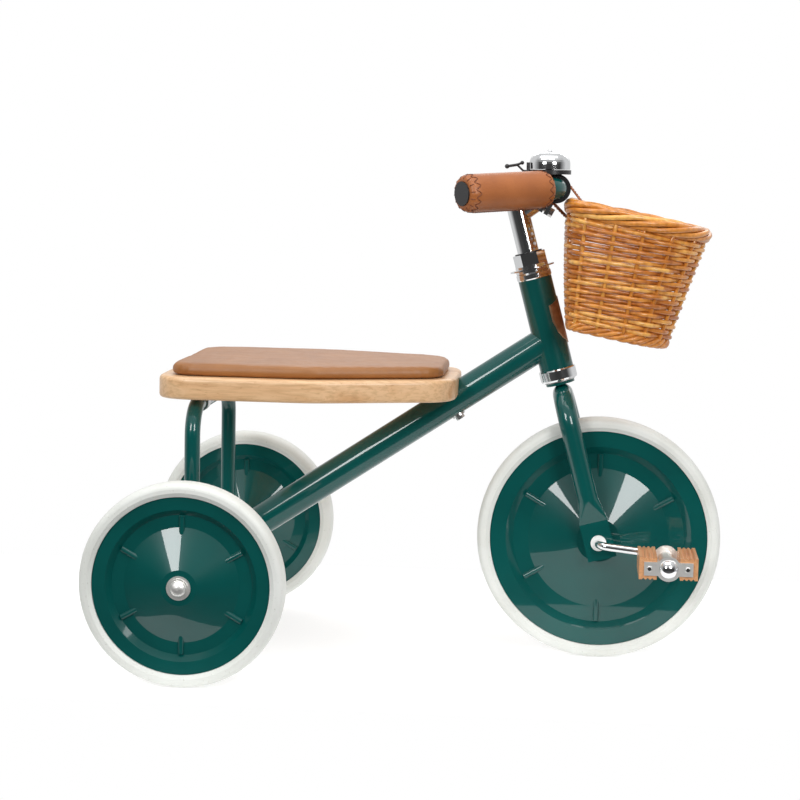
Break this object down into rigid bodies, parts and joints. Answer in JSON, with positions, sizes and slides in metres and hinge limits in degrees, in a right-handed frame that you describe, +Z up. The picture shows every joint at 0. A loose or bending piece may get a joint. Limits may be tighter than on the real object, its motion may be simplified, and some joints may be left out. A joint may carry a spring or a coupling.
{
  "type": "child's pedal tricycle",
  "caption": "Classic child's tricycle: dark green steel frame, white solid tyres, wooden seat with leather cushion, leather grips, bell and wicker handlebar basket.",
  "frame": {"origin": "on the ground under the middle of the bounding box", "axes": "+X forwards in the direction of travel, +Y to the rider's left, +Z up"},
  "size_m": [0.7214, 0.518, 0.6036],
  "materials": {
    "dark_green_paint": "glossy",
    "white_rubber": "satin",
    "bright_chrome": "polished",
    "zinc_steel": "satin",
    "beech": "satin varnish",
    "pedal_wood": "satin varnish",
    "tan_leather": "satin",
    "wicker": "glossy varnish",
    "white_nylon": "matte",
    "black_plastic": "glossy",
    "copper_badge": "satin"
  },
  "bodies": {
    "frame": {"rear_axle_tube": "dark_green_paint", "main_tube": "dark_green_paint", "head_tube": "dark_green_paint", "seat_hoop": "dark_green_paint", "rear_axle": "zinc_steel", "rear_washers": "zinc_steel", "rear_dome_nuts": "bright_chrome", "seat_board": "beech", "seat_cushion": "tan_leather", "seat_bolt": "zinc_steel", "seat_bolt_washer": "zinc_steel", "seat_clips": "zinc_steel", "seat_clip_screws": "zinc_steel", "head_badge": "copper_badge", "headset_lower_cup": "bright_chrome", "headset_upper_cup": "bright_chrome"},
    "fork": {"fork_steerer": "dark_green_paint", "fork_leg_right": "dark_green_paint", "fork_leg_left": "dark_green_paint", "fork_bush_right": "white_nylon", "fork_bush_left": "white_nylon", "crown_race": "zinc_steel", "lower_bearing": "zinc_steel", "upper_bearing": "zinc_steel", "adjusting_race": "bright_chrome", "lock_washer": "bright_chrome", "locknut": "bright_chrome", "locknut_seal": "black_plastic"},
    "stem": {"quill_stem": "bright_chrome", "expander_wedge": "zinc_steel", "expander_bolt": "zinc_steel", "clamp_bolt": "zinc_steel", "handlebar": "dark_green_paint", "grip_right": "tan_leather", "grip_left": "tan_leather", "bar_end_caps": "black_plastic", "bell_bracket": "black_plastic", "bell_dome": "bright_chrome", "bell_screw": "bright_chrome"},
    "bell_lever": {"bell_lever": "black_plastic"},
    "basket": {"basket": "wicker", "basket_strap_right": "tan_leather", "basket_strap_left": "tan_leather"},
    "front_wheel": {"front_tyre": "white_rubber", "front_disc_right": "dark_green_paint", "front_disc_left": "dark_green_paint", "front_hub": "zinc_steel", "crank": "bright_chrome"},
    "pedal_right": {"pedal_blocks_right": "pedal_wood", "pedal_frame_right": "bright_chrome", "pedal_hardware_right": "bright_chrome"},
    "pedal_left": {"pedal_blocks_left": "pedal_wood", "pedal_frame_left": "bright_chrome", "pedal_hardware_left": "bright_chrome"},
    "rear_wheel_right": {"rear_tyre_right": "white_rubber", "rear_discs_right": "dark_green_paint", "rear_hub_right": "white_nylon"},
    "rear_wheel_left": {"rear_tyre_left": "white_rubber", "rear_discs_left": "dark_green_paint", "rear_hub_left": "white_nylon"}
  },
  "joints": [
    {"name": "steering", "type": "hinge", "parent": "frame", "child": "fork", "pos_m": [0.21575, 0, 0.145], "axis": [-0.2639, 0, 0.9646], "range_deg": [-45, 45]},
    {"name": "stem_height", "type": "slide", "parent": "fork", "child": "stem", "axis": [-0.2639, 0, 0.9646], "range_m": [0, 0.03]},
    {"name": "bell_lever_swing", "type": "hinge", "parent": "stem", "child": "bell_lever", "pos_m": [0.12461, -0.055, 0.57835], "axis": [0, 1, 0], "range_deg": [-15, 20], "stiffness_Nm_per_rad": 0.01},
    {"name": "basket_swing", "type": "hinge", "parent": "stem", "child": "basket", "pos_m": [0.15421, 0, 0.55945], "axis": [0, -1, 0], "range_deg": [0, 35]},
    {"name": "front_wheel_spin", "type": "hinge", "parent": "fork", "child": "front_wheel", "pos_m": [0.21575, 0, 0.145], "axis": [0, 1, 0], "continuous": true},
    {"name": "pedal_right_spin", "type": "hinge", "parent": "front_wheel", "child": "pedal_right", "pos_m": [0.29332, -0.11, 0.13685], "axis": [0, 1, 0], "continuous": true},
    {"name": "pedal_left_spin", "type": "hinge", "parent": "front_wheel", "child": "pedal_left", "pos_m": [0.13818, 0.11, 0.15315], "axis": [0, 1, 0], "continuous": true},
    {"name": "rear_wheel_right_spin", "type": "hinge", "parent": "frame", "child": "rear_wheel_right", "pos_m": [-0.24525, -0.2275, 0.1155], "axis": [0, 1, 0], "continuous": true},
    {"name": "rear_wheel_left_spin", "type": "hinge", "parent": "frame", "child": "rear_wheel_left", "pos_m": [-0.24525, 0.2275, 0.1155], "axis": [0, 1, 0], "continuous": true}
  ]
}
